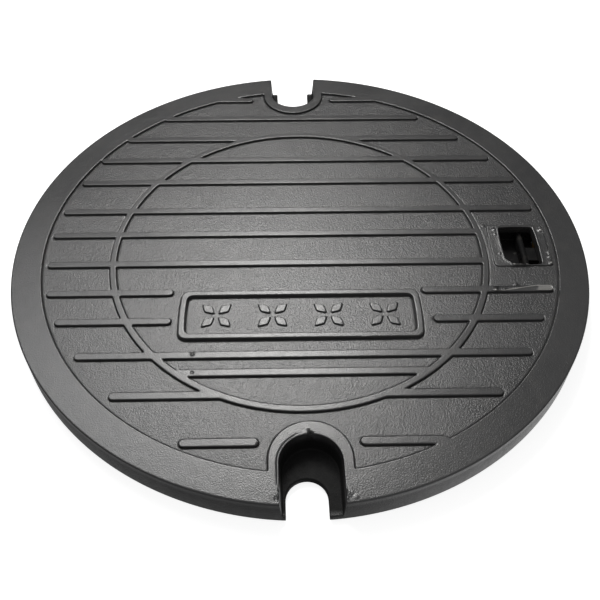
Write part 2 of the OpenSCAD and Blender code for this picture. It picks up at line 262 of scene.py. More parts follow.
def filled_arcs(loop, step=1.5):
    """The loop with points added, on the true circle wherever its corners lie on one."""
    after = np.roll(loop, -1, 0)
    centre = circle_centres(np.roll(loop, 1, 0), loop, after)
    radius = np.linalg.norm(loop - centre, axis=1)
    apart = np.linalg.norm(centre - np.roll(centre, -1, 0), axis=1)
    short = np.linalg.norm(after - loop, axis=1) < 0.85 * radius
    alike = short & (apart < 0.1 + 0.004 * radius) & (radius < 400)
    on_arc = alike | np.roll(alike, 1)
    points = []
    for i, (start, end) in enumerate(zip(loop, after)):
        count = max(1, math.ceil(np.linalg.norm(end - start) / step))
        share = np.arange(count)[:, None] / count
        line = start + (end - start) * share
        j = (i + 1) % len(loop)
        if short[i] and (on_arc[i] or on_arc[j]):
            middle = centre[i] if on_arc[i] else centre[j]
            reach = line - middle
            length = np.linalg.norm(reach, axis=1, keepdims=True)
            line = middle + reach / length * np.linalg.norm(start - middle)
        points.append(line)
    return np.concatenate(points)


# ---------------------------------------------------------- casting: distance fields


def inside(loops):
    """Which grid points lie inside an odd number of the loops."""
    crossed = np.zeros((len(GRID), len(GRID) + 1), int)
    for loop in loops:
        for (x0, y0), (x1, y1) in zip(loop, np.roll(loop, -1, 0)):
            low, high = np.searchsorted(GRID, sorted((y0, y1)))
            rows = np.arange(low, high)
            if len(rows):
                x = x0 + (GRID[rows] - y0) * (x1 - x0) / (y1 - y0)
                crossed[rows, np.searchsorted(GRID, x)] += 1
    return np.cumsum(crossed, 1)[:, :-1] % 2 == 1


def distance(loops, material, reach=9.0):
    """Signed distance from the edge of the material: below zero inside it."""
    far = np.full(material.shape, reach)
    for loop in loops:
        for start, end in zip(loop, np.roll(loop, -1, 0)):
            low, high = np.minimum(start, end) - reach, np.maximum(start, end) + reach
            (x0, y0), (x1, y1) = np.searchsorted(GRID, low), np.searchsorted(GRID, high)
            x, y = GRID[x0:x1] - start[0], GRID[y0:y1, None] - start[1]
            way = end - start
            share = np.clip((x * way[0] + y * way[1]) / max(way @ way, 1e-12), 0, 1)
            gap = np.hypot(x - share * way[0], y - share * way[1])
            far[y0:y1, x0:x1] = np.minimum(far[y0:y1, x0:x1], gap)
    return softened(np.where(material, -far, far))


def softened(field):
    """The field blurred a little, so that sharp corners in plan become round."""
    reach = math.ceil(3 * SOFTEN / CELL)
    weight = np.exp(-0.5 * (np.arange(-reach, reach + 1) * CELL / SOFTEN) ** 2)
    weight /= weight.sum()
    for axis in (0, 1):
        wide = np.pad(field, [(reach, reach) if a == axis else (0, 0) for a in (0, 1)], "edge")
        parts = [np.take(wide, range(i, i + len(GRID)), axis) * w for i, w in enumerate(weight)]
        field = sum(parts)
    return field


def sampled(field, points):
    """The field at any points, by linear interpolation."""
    at = (points + GRID_EDGE) / CELL
    cell = np.clip(at.astype(int), 0, len(GRID) - 2)
    x, y = (at - cell).T
    i, j = cell.T
    low = field[j, i] * (1 - x) + field[j, i + 1] * x
    high = field[j + 1, i] * (1 - x) + field[j + 1, i + 1] * x
    return low * (1 - y) + high * y


def contours(field, level):
    """Closed lines on which the field has this value."""
    below = field < level
    across = np.argwhere(below[:, :-1] != below[:, 1:])
    upward = np.argwhere(below[:-1] != below[1:])
    number_x = np.full(field.shape, -1)
    number_y = np.full(field.shape, -1)
    number_x[tuple(across.T)] = np.arange(len(across))
    number_y[tuple(upward.T)] = np.arange(len(upward)) + len(across)
    places = np.concatenate([
        crossing_points(field, level, across, (0, 1)),
        crossing_points(field, level, upward, (1, 0)),
    ])
    sides = np.stack([number_x[:-1, :-1], number_y[:-1, :-1], number_x[1:, :-1], number_y[:-1, 1:]], -1)
    count = (sides >= 0).sum(-1)
    two = np.sort(sides[count == 2], 1)[:, 2:]
    four = sides[count == 4]
    pairs = np.concatenate([two, four[:, :2], four[:, 2:]])
    return [places[line] for line in chained(pairs, len(places))]


def crossing_points(field, level, cells, step):
    """Where the field passes the level between each grid point and the next."""
    j, i = cells.T
    here, there = field[j, i], field[j + step[0], i + step[1]]
    share = (level - here) / (there - here)
    return np.stack([GRID[i] + share * step[1] * CELL, GRID[j] + share * step[0] * CELL], 1)


def chained(pairs, count):
    """Joins pairs of neighbouring points into closed chains."""
    near = [[] for _ in range(count)]
    for a, b in pairs.tolist():
        near[a].append(b)
        near[b].append(a)
    used = [len(n) != 2 for n in near]
    chains = []
    for first in range(count):
        if used[first]:
            continue
        chain, at = [], first
        while at is not None:
            used[at] = True
            chain.append(at)
            at = next((n for n in near[at] if not used[n]), None)
        if len(chain) > 6:
            chains.append(chain)
    return chains


def spread(line, widest=6.0, finest=0.9, flatness=0.02):
    """The closed line with its points close together in bends and far apart elsewhere."""
    line = resampled(line, np.linalg.norm(np.roll(line, -1, 0) - line, axis=1), 1.0)
    step = np.roll(line, -1, 0) - line
    length = np.linalg.norm(step, axis=1)
    heading = np.unwrap(np.arctan2(step[:, 1], step[:, 0]))
    turn = np.roll(heading, -2) - np.roll(heading, 2)
    turn = np.abs((turn + math.pi) % (2 * math.pi) - math.pi) / 4
    bend = sum(np.roll(turn, n) for n in (-2, -1, 0, 1, 2)) / 5
    density = np.clip(np.sqrt(bend / (8 * flatness)), 1 / widest, 1 / finest)
    return resampled(line, length * density, 1.0)


def resampled(line, weight, step):
    """Points along a closed line, one for each step of the added-up weight."""
    whole = np.r_[0, np.cumsum(weight)]
    count = max(6, round(whole[-1] / step))
    at = np.linspace(0, whole[-1], count, endpoint=False)
    closed = np.r_[line, line[:1]]
    return np.stack([np.interp(at, whole, closed[:, 0]), np.interp(at, whole, closed[:, 1])], 1)


# ------------------------------------------------------------- casting: the shapes


class Casting:
    """Distance fields and heights of the casting's top and underside."""

    def __init__(self):
        triangles = node_triangles("cover")
        relief = flat_loops(triangles, RELIEF_LEVEL, True)
        pad = flat_loops(triangles, PAD_LEVEL, True)
        feet = flat_loops(triangles, FOOT_LEVEL, False)
        groove = flat_loops(triangles, GROOVE_LEVEL, False)
        rim_line = max(relief, key=np.ptp)
        foot_line = max(feet, key=np.ptp)
        self.outer = foot_line * INSIDE_BOX
        self.window = flashed(min(pad, key=np.ptp))
        self.notches = notch_loops(rim_line)
        self.top = [
            (RELIEF_EDGE, self.field([loop for loop in relief if loop is not rim_line], outside=True)),
            (PANEL_EDGE, self.field(flat_loops(triangles, PANEL_LEVEL, True))),
            (DIAMOND_EDGE, self.field(flat_loops(triangles, DIAMOND_LEVEL, True))),
            (PAD_EDGE, self.field([max(pad, key=np.ptp)])),
        ]
        self.notch_field = -self.field(self.notches)
        self.rim_field = self.field([self.outer])
        self.window_field = self.field([self.window])
        self.groove_field = self.field(groove)
        feet = [loop for loop in feet if loop is not foot_line and not is_one_of(loop, groove)]
        self.under = [(FOOT_EDGE, self.field(feet, outside=True))]
        levels = [(POCKET_EDGE, POCKET_LEVEL), (RIB_EDGE, RIB_LEVEL), (LUG_EDGE, LUG_LEVEL)]
        loops, solid = feet, ~inside(feet)
        for edge, level in levels:
            more = flat_loops(triangles, level, False)
            loops = loops + more
            solid = solid | inside(more)
            self.under.append((edge, distance(edges_of(solid, loops), solid)))

    def field(self, loops, outside=False):
        return distance(loops, inside(loops) ^ outside)

    def top_height(self, points):
        """Height of the top at any points."""
        raised = [edge.height_at(sampled(field, points)) for edge, field in self.top]
        raised[0] = raised[0] * wear(points) + worn_outline(points, sampled(self.top[0][1], points))
        level = FIELD_LEVEL + np.max(raised, axis=0)
        wall = NOTCH_EDGE.height_at(sampled(self.notch_field, points)) / NOTCH_EDGE.height
        level = FLOOR_LEVEL + (level - FLOOR_LEVEL) * wall
        level = level - fold(points, sampled(self.notch_field, points))
        level = level - rounding(-sampled(self.rim_field, points), RIM_ROUND)
        for edge, field in self.top[:2]:
            level = level - edge.crease_at(sampled(field, points))
        to_window = sampled(self.window_field, points)
        level = level + RIDGE_HEIGHT * ridge(to_window - RIDGE_PLACE, RIDGE_WIDTH)
        level = level - rounding(to_window, WINDOW_ROUND)
        for x, y, radius, height in BLEMISHES:
            near = np.clip(1 - ((points - (x, y)) ** 2).sum(1) / radius**2, 0, 1)
            level = level + height * near**1.5
        return np.minimum(level, PANEL_LEVEL)

    def under_height(self, points):
        """Height of the underside at any points."""
        deep = [edge.height_at(sampled(field, points)) for edge, field in self.under]
        level = PLATE_LEVEL - np.max(deep, axis=0)
        in_groove = np.clip(0.5 - sampled(self.groove_field, points) * 5, 0, 1)
        level = level + (GROOVE_LEVEL - FOOT_LEVEL) * in_groove
        return level + rounding(-sampled(self.rim_field, points), FOOT_ROUND)

    def is_deepest(self, section, field, points):
        """Where one section of the underside lies lower than all the others."""
        own = section.height_at(sampled(field, points))
        others = [e.height_at(sampled(f, points)) for e, f in self.under if f is not field]
        return own > np.max(others, axis=0) - 0.2


def flashed(loop):
    """The window's outline, with a web of flash left across its near inner corner."""
    short = FLASH_REACH - (loop - loop.min(0)).sum(1)
    return loop + np.clip(short, 0, None)[:, None] / 2


def worn_width(x, inset=0.0):
    """Width of what is left of the worn bar."""
    return np.interp(x, WORN_X, [WORN_WIDTH[0], WORN_WIDTH[1] - inset])


def wear(points):
    """How much of the worn bar's height is left: its far side is gone near the ring."""
    x, y = points.T
    gone = np.clip((y - WORN_Y - worn_width(x)) / WORN_SLOPE, 0, 1)
    here = (x > WORN_X[0] - 8) & (x < WORN_X[1]) & (y > WORN_Y - 2) & (y < WORN_Y + 12)
    off_ring = np.clip((x - WORN_X[0] + 6) / 3, 0, 1)
    return 1 - here * gone * off_ring


def worn_outline(points, to_relief):
    """Height of the thin burr that outlines what is left of the worn bar."""
    x, y = points.T
    away = 9  # millimetres, so far off that no burr is left
    here = (x > WORN_X[0]) & (x < WORN_X[1] + 18) & (np.abs(y - WORN_Y - 4) < away)
    slant = np.abs(y - WORN_Y - worn_width(x, WORN_SLOPE)) + away * (x > WORN_X[1])
    end = np.abs(to_relief + 1.0) + away * (x < WORN_X[1] - 4)
    return BURR_HEIGHT * here * ridge(np.minimum(slant, end), BURR_WIDTH)


def wear_points():
    """Rows of points along the slanted edge of the worn bar."""
    x = np.linspace(WORN_X[0] - 5, WORN_X[1], 40)
    edge = WORN_Y + worn_width(x)
    return np.concatenate([np.column_stack([x, edge + d]) for d in (-2.5, -1.6, -0.8, 0, 0.6, 1.2, 2)])


def fold(points, to_notch):
    """Depth of the fold that runs along the inner side of the front notch's left lip."""
    x, y = points.T
    inner, outer = FOLD_ENDS
    here = np.clip((FOLD_SIDE - x) / 8, 0, 1) * (y < inner) * np.clip((y - outer) / 10, 0, 1)
    return FOLD_DEPTH * here * ridge(to_notch + FOLD_PLACE, FOLD_WIDTH)


def fold_lines():
    """Distances from the notch's edge at which the fold needs a row of points."""
    return [-FOLD_PLACE - d for d in (2, 1, 0.5, 0, -0.5, -1)]


def is_one_of(loop, others):
    """Is this the outline of one of the other loops too?"""
    box = [loop.min(0), loop.max(0)]
    return any(np.allclose(box, [other.min(0), other.max(0)], atol=0.3) for other in others)


def notch_loops(rim_line):
    """The two notches' outlines, cut from the rim's inner line and closed past the rim."""
    reach = np.linalg.norm(rim_line, axis=1)
    in_notch = reach < reach.max() - 0.5
    first = np.flatnonzero(~in_notch)[0]
    line, in_notch = np.roll(rim_line, -first, 0), np.roll(in_notch, -first)
    starts = np.flatnonzero(in_notch & ~np.roll(in_notch, 1))
    ends = np.flatnonzero(in_notch & ~np.roll(in_notch, -1))
    loops = []
    for start, end in zip(starts, ends):
        side = line[start : end + 1]
        out = side[0] - side[12]
        out = out / np.linalg.norm(out) * 12
        loops.append(np.concatenate([[side[0] + out], side, [side[-1] + out]]))
    return loops


def edges_of(solid, loops):
    """The stretches of the loops that have the solid on one side only."""
    kept = []
    for loop in loops:
        after = np.roll(loop, -1, 0)
        way = after - loop
        normal = np.stack([-way[:, 1], way[:, 0]], 1)
        normal /= np.maximum(np.linalg.norm(way, axis=1, keepdims=True), 1e-9)
        middle = (loop + after) / 2
        sides = [sampled(solid.astype(float), middle + normal * off) > 0.5 for off in (-0.9, 0.9)]
        kept += [np.array(pair) for pair in zip(loop[sides[0] != sides[1]], after[sides[0] != sides[1]])]
    return kept


def rounding(depth, radius):
    """How far a rounded edge falls away, at a depth inside the edge."""
    over = np.clip(radius - depth, 0, radius)
    return radius - np.sqrt(radius**2 - over**2)


def rounding_lines(radius):
    """Depths at which the mesh needs a row of points along a rounded edge."""
    return [0.12 * radius, 0.45 * radius, radius, radius + 0.8]


# --------------------------------------------------------------- casting: the mesh


class Plan:
    """Points and lines to be joined into triangles, seen from above."""

    def __init__(self):
        self.points, self.lines, self.count = [], [], 0

    def add_loop(self, loop):
        number = np.arange(len(loop)) + self.count
        self.points.append(loop)
        self.lines.append(np.stack([number, np.roll(number, -1)], 1))
        self.count += len(loop)

    def add_contours(self, field, levels, keep=None, **spacing):
        for level in levels:
            for line in contours(field, level):
                line = spread(line, **spacing)
                if keep is None:
                    self.add_loop(line)
                else:
                    self.add_part(line, keep(line))

    def add_part(self, loop, kept):
        """Adds only the kept points of a loop, and the lines between them."""
        number = np.cumsum(kept) - 1 + self.count
        both = kept & np.roll(kept, -1)
        self.points.append(loop[kept])
        self.lines.append(np.stack([number, np.roll(number, -1)], 1)[both])
        self.count += int(kept.sum())

    def add_points(self, points):
        self.points.append(points)
        self.count += len(points)

    def triangles(self, loops):
        """Triangles between the loops: points, and corner numbers turning left."""
        points = [Vector(p) for p in np.concatenate(self.points)]
        lines = np.concatenate(self.lines).tolist()
        made = delaunay_2d_cdt(points, lines, [], 0, 1e-4, False)
        places = np.array([tuple(p) for p in made[0]])
        faces = np.array([f for f in made[2] if len(f) == 3])
        middle = places[faces].mean(1)
        return places, faces[odd_loops(middle, loops)]


def odd_loops(points, loops):
    """Which points lie inside an odd number of the loops."""
    odd = np.zeros(len(points), bool)
    for loop in loops:
        for (x0, y0), (x1, y1) in zip(loop, np.roll(loop, -1, 0)):
            if y0 != y1:
                row = (points[:, 1] >= min(y0, y1)) & (points[:, 1] < max(y0, y1))
                x = x0 + (points[row, 1] - y0) * (x1 - x0) / (y1 - y0)
                odd[row] ^= points[row, 0] < x
    return odd


def open_edges(faces):
    """Edges that only one triangle has, in the direction in which it has them."""
    edges = np.concatenate([faces[:, [0, 1]], faces[:, [1, 2]], faces[:, [2, 0]]])
    pairs = set(map(tuple, edges.tolist()))
    return [(a, b) for a, b in pairs if (b, a) not in pairs]


def edge_loops(places, faces):
    """The closed loops round a set of triangles."""
    after = dict(open_edges(faces))
    loops = []
    while after:
        loop = [next(iter(after))]
        while loop[-1] in after:
            loop.append(after.pop(loop[-1]))
        loops.append(places[loop[:-1]])
    return loops


def fill_points(fields, spacing, margin=3.0):
    """Points in rows over the flats, which carry the casting's faint unevenness."""
    rows = np.arange(-320, 320, spacing * 0.87)
    grid = [
        (x + (spacing / 2 if n % 2 else 0), y)
        for n, y in enumerate(rows)
        for x in np.arange(-320, 320, spacing)
    ]
    grid = np.array(grid)
    near = np.min([np.abs(sampled(field, grid)) for field in fields], axis=0)
    return grid[near > margin]


def blemish_points():
    """Rings of points that carry each blemish."""
    rings = [(0, 1), (0.3, 6), (0.6, 10), (0.85, 12), (1, 12), (1.2, 12)]
    return np.array([
        (x + radius * share * math.cos(angle), y + radius * share * math.sin(angle))
        for x, y, radius, _ in BLEMISHES
        for share, count in rings
        for angle in np.linspace(0, 2 * math.pi, count, endpoint=False) + share
    ])


def top_plan(casting):
    """The plan of the top: its points, its triangles and the loops round them."""
    plan = Plan()
    for loop in (casting.outer, casting.window):
        plan.add_loop(spread(loop, widest=4.0))
    bound = [line.copy() for line in plan.points]
    for edge, field in casting.top:
        plan.add_contours(field, edge.lines())
    plan.add_contours(casting.notch_field, NOTCH_EDGE.lines() + fold_lines())
    plan.add_contours(casting.rim_field, [-d for d in rounding_lines(RIM_ROUND)])
    plan.add_contours(casting.window_field, rounding_lines(WINDOW_ROUND) + RIDGE_LINES)
    fields = [field for _, field in casting.top]
    fields += [casting.notch_field, casting.rim_field, casting.window_field]
    plan.add_points(fill_points(fields, 9))
    plan.add_points(blemish_points())
    plan.add_points(wear_points())
    places, faces = plan.triangles(bound)
    return places, faces, edge_loops(places, faces)


def under_plan(casting, bound):
    """The plan of the underside inside the same loops: its points and its triangles."""
    plan = Plan()
    for loop in bound:
        plan.add_loop(loop)
    for section, field in casting.under:
        keep = partial(casting.is_deepest, section, field)
        lines = section.lines(coarse=True)
        plan.add_contours(field, lines, keep, widest=12.0, finest=1.6, flatness=0.06)
    plan.add_contours(casting.groove_field, [-0.1, 0.1], widest=8.0, flatness=0.06)
    plan.add_contours(casting.rim_field, [-d for d in rounding_lines(FOOT_ROUND)], widest=8.0)
    fields = [field for _, field in casting.under]
    fields += [casting.groove_field, casting.rim_field, casting.window_field]
    plan.add_points(fill_points(fields, 12))
    return plan.triangles(bound)


def keys_of(places):
    """A whole-number key for each place, the same for the same place in both plans."""
    return [tuple(key) for key in np.round(places * 500).astype(int).tolist()]


def build_casting():
    """The casting as one closed mesh object."""
    casting = Casting()
    places, faces, bound = top_plan(casting)
    low_places, low_faces = under_plan(casting, bound)
    points = np.concatenate([
        np.column_stack([places, casting.top_height(places)]),
        np.column_stack([low_places, casting.under_height(low_places)]),
    ])
    shell = faces.tolist() + (low_faces[:, ::-1] + len(places)).tolist()
    key_of_top = keys_of(places)
    low_number = {key: n + len(places) for n, key in enumerate(keys_of(low_places))}
    for a, b in open_edges(faces):
        shell.append([a, low_number[key_of_top[a]], low_number[key_of_top[b]], b])
    mesh = bpy.data.meshes.new("casting")
    mesh.from_pydata((points * MM).tolist(), [], shell)
    return linked("casting", mesh)


# ---------------------------------------------------------------- mesh and node tools


def linked(name, mesh):
    piece = bpy.data.objects.new(name, mesh)
    bpy.context.scene.collection.objects.link(piece)
    return piece


def block(name, low, high):
    """A plain box between two corners in millimetres, for cutting."""
    corners = [(x, y, z) for x in (low[0], high[0]) for y in (low[1], high[1]) for z in (low[2], high[2])]
    sides = [(0, 1, 3, 2), (4, 6, 7, 5), (0, 4, 5, 1), (2, 3, 7, 6), (0, 2, 6, 4), (1, 5, 7, 3)]
    mesh = bpy.data.meshes.new(name)
    mesh.from_pydata([tuple(v * MM for v in corner) for corner in corners], [], sides)
    return linked(name, mesh)


def cut(piece, cutters):
    """Takes the cutters' shapes out of the piece and deletes the cutters."""
    for cutter in cutters:
        step = piece.modifiers.new("cut", "BOOLEAN")
        step.object, step.operation, step.solver = cutter, "DIFFERENCE", "EXACT"
    graph = bpy.context.evaluated_depsgraph_get()
    whole = piece.data
    piece.data = bpy.data.meshes.new_from_object(piece.evaluated_get(graph))
    piece.modifiers.clear()
    bpy.data.meshes.remove(whole)
    for cutter in cutters:
        bpy.data.objects.remove(cutter)


def remap_node(tree, value, low, high, to_low, to_high):
    """A smooth step from one number to another as the value rises from low to high."""
    node = tree.nodes.new("ShaderNodeMapRange")
    node.interpolation_type = "SMOOTHSTEP"
    for key, number in zip(("From Min", "From Max", "To Min", "To Max"), (low, high, to_low, to_high)):
        node.inputs[key].default_value = number
    tree.links.new(value, node.inputs["Value"])
    return node.outputs["Result"]


def mixed_number(tree, share, a, b):
    """A number between two; each is a value or another node's output."""
    node = tree.nodes.new("ShaderNodeMix")
    for key, value in (("Factor", share), ("A", a), ("B", b)):
        if isinstance(value, float):
            node.inputs[key].default_value = value
        else:
            tree.links.new(value, node.inputs[key])
    return node.outputs["Result"]


class Nodes:
    """A short way to write a material's node tree."""

    def __init__(self, name):
        self.material = bpy.data.materials.new(name)
        self.material.use_nodes = True
        self.tree = self.material.node_tree
        self.shader = self.tree.nodes["Principled BSDF"]
        coordinates = self.add("ShaderNodeTexCoord")
        self.place, self.normal = coordinates.outputs["Object"], coordinates.outputs["Normal"]

    def add(self, kind, **settings):
        """A new node, with its properties set."""
        node = self.tree.nodes.new(kind)
        for key, value in settings.items():
            setattr(node, key, value)
        return node

    def link(self, source, target):
        self.tree.links.new(source, target)

    def stretched(self, x, y, z):
        """The object's coordinates, scaled along each axis."""
        node = self.add("ShaderNodeMapping")
        node.inputs["Scale"].default_value = (x, y, z)
        self.link(self.place, node.inputs["Vector"])
        return node.outputs["Vector"]

    def noise(self, scale, detail, place=None):
        node = self.add("ShaderNodeTexNoise")
        node.inputs["Scale"].default_value = scale
        node.inputs["Detail"].default_value = detail
        self.link(place or self.place, node.inputs["Vector"])
        return node.outputs["Fac"]

    def remap(self, value, low, high, to_low, to_high):
        return remap_node(self.tree, value, low, high, to_low, to_high)

    def maths(self, operation, a, b):
        node = self.add("ShaderNodeMath", operation=operation)
        for socket, value in zip(node.inputs, (a, b)):
            if isinstance(value, (int, float)):
                socket.default_value = value
            else:
                self.link(value, socket)
        return node.outputs["Value"]

    def times(self, a, b):
        return self.maths("MULTIPLY", a, b)

    def plus(self, a, b):
        return self.maths("ADD", a, b)

    def larger(self, a, b):
        return self.maths("MAXIMUM", a, b)

    def left_of(self, share):
        """What is left of one."""
        return self.maths("SUBTRACT", 1.0, share)

    def part(self, axis, vector):
        node = self.add("ShaderNodeSeparateXYZ")
        self.link(vector, node.inputs["Vector"])
        return node.outputs[axis]

    def along(self, axis):
        """The place along one of the object's axes, in millimetres."""
        return self.times(self.part(axis, self.place), 1 / MM)

    def off_middle(self, axis):
        """The distance from the object's middle along one axis, in millimetres."""
        return self.maths("ABSOLUTE", self.along(axis), 0)

    def band(self, value, rise, fall):
        """One between two smooth steps; each step is where it starts and where it ends."""
        return self.times(self.remap(value, *rise, 0, 1), self.remap(value, *fall, 1, 0))

    def mixed(self, share, a, b):
        """A colour between two colours; each is a value or another node's output."""
        node = self.add("ShaderNodeMix", data_type="RGBA")
        self.link(share, node.inputs["Factor"])
        for socket, colour in ((node.inputs[6], a), (node.inputs[7], b)):
            if isinstance(colour, tuple):
                socket.default_value = (*colour, 1)
            else:
                self.link(colour, socket)
        return node.outputs[2]

    def bumps(self, *layers):
        """Adds up bump layers: each is a height and its depth in metres."""
        normal = None
        for height, depth in layers:
            node = self.add("ShaderNodeBump")
            node.inputs["Distance"].default_value = depth
            self.link(height, node.inputs["Height"])
            if normal:
                self.link(normal, node.inputs["Normal"])
            normal = node.outputs["Normal"]
        self.link(normal, self.shader.inputs["Normal"])
        self.link(normal, self.shader.inputs["Coat Normal"])

    def set(self, **inputs):
        """Sets the shader's inputs, with _ for a blank in their names."""
        for key, value in inputs.items():
            socket = self.shader.inputs[key.replace("_", " ")]
            if isinstance(value, bpy.types.NodeSocket):
                self.link(value, socket)
            else:
                socket.default_value = (*value, 1) if isinstance(value, tuple) else value


# -------------------------------------------------------------------------- materials

# Where the cast iron's painted shade and painted highlight lie, in millimetres
NOTCH_SHADE_HALF_WIDTH = (37, 40)  # the painted shade in a notch fades between these distances
NOTCH_SHADE_INNER_END = (240, 250)
NOTCH_SHADE_OUTER_END = (317, 323.5)
NOTCH_SHADE_TOP = (20, 29)
HIGHLIGHT_SIDE = (190, 200)  # the crests are painted bright, as a highlight, only beyond this, towards +X


def cast_iron():
    """Black coating over sand-cast iron: pebbled in the field, smoother on the relief."""
    m = Nodes("coated_cast_iron")
    level = m.along("Z")
    # Painted shade: low in the notches the ledges and walls are painted near black, rougher and with less
    # coat, to stand in for their shade.
    across = m.remap(m.off_middle("X"), *NOTCH_SHADE_HALF_WIDTH, 1, 0)
    in_notch = m.times(across, m.band(m.off_middle("Y"), NOTCH_SHADE_INNER_END, NOTCH_SHADE_OUTER_END))
    painted_notch_shade = m.times(in_notch, m.remap(level, *NOTCH_SHADE_TOP, 1, 0))
    on_top = m.remap(level, RELIEF_LEVEL - 1.2, RELIEF_LEVEL - 0.2, 0, 1)

    # The relief's low walls and the creases in the flats get less coat, as painted shade, so they shine
    # less
    wall = m.band(level, (FIELD_LEVEL + 0.15, FIELD_LEVEL + 0.5), (PAD_LEVEL - 0.5, PAD_LEVEL - 0.1))
    crease = m.band(level, (FIELD_LEVEL - 3, FIELD_LEVEL - 2), (FIELD_LEVEL - 0.35, FIELD_LEVEL - 0.05))
    crease = m.times(crease, m.remap(m.part("Z", m.normal), 0.3, 0.7, 0, 1))
    dull = m.larger(m.times(wall, 0.75), m.times(painted_notch_shade, 0.9))
    unshaded = m.left_of(m.larger(dull, m.times(crease, 0.85)))

    patches = m.remap(m.noise(9, 3), 0.35, 0.65, 0, 1)
    grime = m.remap(m.noise(55, 4), 0.45, 0.75, 0, 0.6)
    # Painted highlight: the burr crests towards +X are painted a light grey, as though the coating were
    # worn to bare iron there.
    wear_and_highlight = m.remap(level, RELIEF_LEVEL + 0.1, RELIEF_LEVEL + 0.5, 0, 1)
    wear_and_highlight = m.times(wear_and_highlight, m.remap(m.along("X"), *HIGHLIGHT_SIDE, 0, 1))
    colour = m.mixed(patches, (0.013, 0.013, 0.0135), (0.021, 0.021, 0.0215))
    colour = m.mixed(grime, colour, (0.027, 0.026, 0.0245))
    colour = m.mixed(wear_and_highlight, colour, (0.2, 0.195, 0.185))
    m.set(
        # painted shade: near black low in the notches
        Base_Color=m.mixed(painted_notch_shade, colour, (0.004, 0.004, 0.004)),
        Roughness=m.plus(m.remap(m.noise(140, 3), 0.3, 0.7, 0.3, 0.38), m.times(painted_notch_shade, 0.4)),
        Specular_IOR_Level=0.2,
        # painted shade: a thinner coat on the lower faces, and on the shaded walls, creases and notches
        Coat_Weight=m.times(m.remap(level, PLATE_LEVEL + 1, FIELD_LEVEL - 1, 0.3, 1), unshaded),
        Coat_Roughness=0.29,
    )
    calm = m.left_of(m.times(on_top, 0.5))
    pebbles = m.times(m.noise(600, 2), calm)
    grain = m.times(m.noise(950, 2), calm)
    m.bumps((pebbles, 0.00029), (grain, 0.00036), (m.noise(70, 2), 0.0002))
    return m.material


def rubber():
    """Matt black rubber with a fine moulded grain and traces of dust."""
    m = Nodes("seat_rubber")
    dust = m.remap(m.noise(160, 5), 0.5, 0.8, 0, 0.5)
    m.set(
        Base_Color=m.mixed(dust, (0.012, 0.012, 0.012), (0.05, 0.047, 0.042)),
        Roughness=m.remap(m.noise(90, 3), 0.3, 0.7, 0.62, 0.8),
    )
    m.bumps((m.noise(2200, 2), 0.0001), (m.noise(300, 2), 0.0002))
    return m.material


def steel():
    """Zinc-plated steel: drawn along the bolt, with dull spots."""
    m = Nodes("zinc_plated_steel")
    drawn = m.noise(260, 3, m.stretched(0.12, 3, 3))
    spots = m.remap(m.noise(75, 4), 0.5, 0.72, 0, 0.8)
    m.set(
        Base_Color=m.mixed(spots, (0.46, 0.47, 0.48), (0.27, 0.27, 0.265)),
        Metallic=1.0,
        Roughness=m.plus(m.remap(drawn, 0.3, 0.7, 0.28, 0.42), m.times(spots, 0.15)),
    )
    m.bumps((drawn, 0.00006), (m.noise(500, 3), 0.00005))
    return m.material


def blackened_steel():
    """Steel with an oiled black oxide skin, worn by rubbing to a brown grey in places."""
    m = Nodes("blackened_steel")
    wear_and_highlight = m.remap(m.noise(95, 4), 0.5, 0.75, 0, 0.7)
    m.set(
        Base_Color=m.mixed(wear_and_highlight, (0.006, 0.006, 0.0063), (0.02, 0.0185, 0.0165)),
        Roughness=m.plus(m.remap(m.noise(210, 3), 0.3, 0.7, 0.55, 0.68), m.times(wear_and_highlight, 0.1)),
        Specular_IOR_Level=0.06,
    )
    m.bumps((m.noise(900, 3), 0.00006), (m.noise(260, 3, m.stretched(3, 0.15, 3)), 0.00005))
    return m.material


def bronze():
    """Machined bearing bronze, tarnished brown away from the bright spots."""
    m = Nodes("bearing_bronze")
    turned = m.noise(300, 3, m.stretched(4, 0.3, 0.3))
    tarnish = m.remap(m.noise(60, 4), 0.4, 0.65, 0, 0.85)
    m.set(
        Base_Color=m.mixed(tarnish, (0.52, 0.33, 0.13), (0.2, 0.115, 0.05)),
        Metallic=1.0,
        Roughness=m.plus(m.remap(turned, 0.3, 0.7, 0.26, 0.4), m.times(tarnish, 0.2)),
    )
    m.bumps((turned, 0.00006), (m.noise(700, 2), 0.00004))
    return m.material


def coated_steel():
    """Black powder coat on sheet steel, scuffed in places down to a grey primer."""
    m = Nodes("coated_sheet_steel")
    scuffs = m.remap(m.noise(120, 5, m.stretched(1, 2.2, 1)), 0.62, 0.7, 0, 1)
    m.set(
        Base_Color=m.mixed(scuffs, (0.007, 0.007, 0.0073), (0.04, 0.04, 0.038)),
        Specular_IOR_Level=0.08,
        Roughness=m.plus(m.remap(m.noise(50, 2), 0.3, 0.7, 0.45, 0.55), m.times(scuffs, 0.2)),
    )
    m.bumps((m.noise(1300, 2), 0.00012), (m.times(scuffs, -1.0), 0.0001))
    return m.material


# ----------------------------------------------------------------------------- pieces

SLOT_MATERIAL = {
    "cast_iron": cast_iron(),
    "rubber": rubber(),
    "steel": steel(),
    "blackened_steel": blackened_steel(),
    "bronze": bronze(),
    "coated_steel": coated_steel(),
}
SLOT_OF_NODE = {part["node"]: part["material_slot"] for part in frame["record"]["subparts"]}
EDGE_WIDTH = 0.00035
EDGE_ANGLE = math.radians(40)


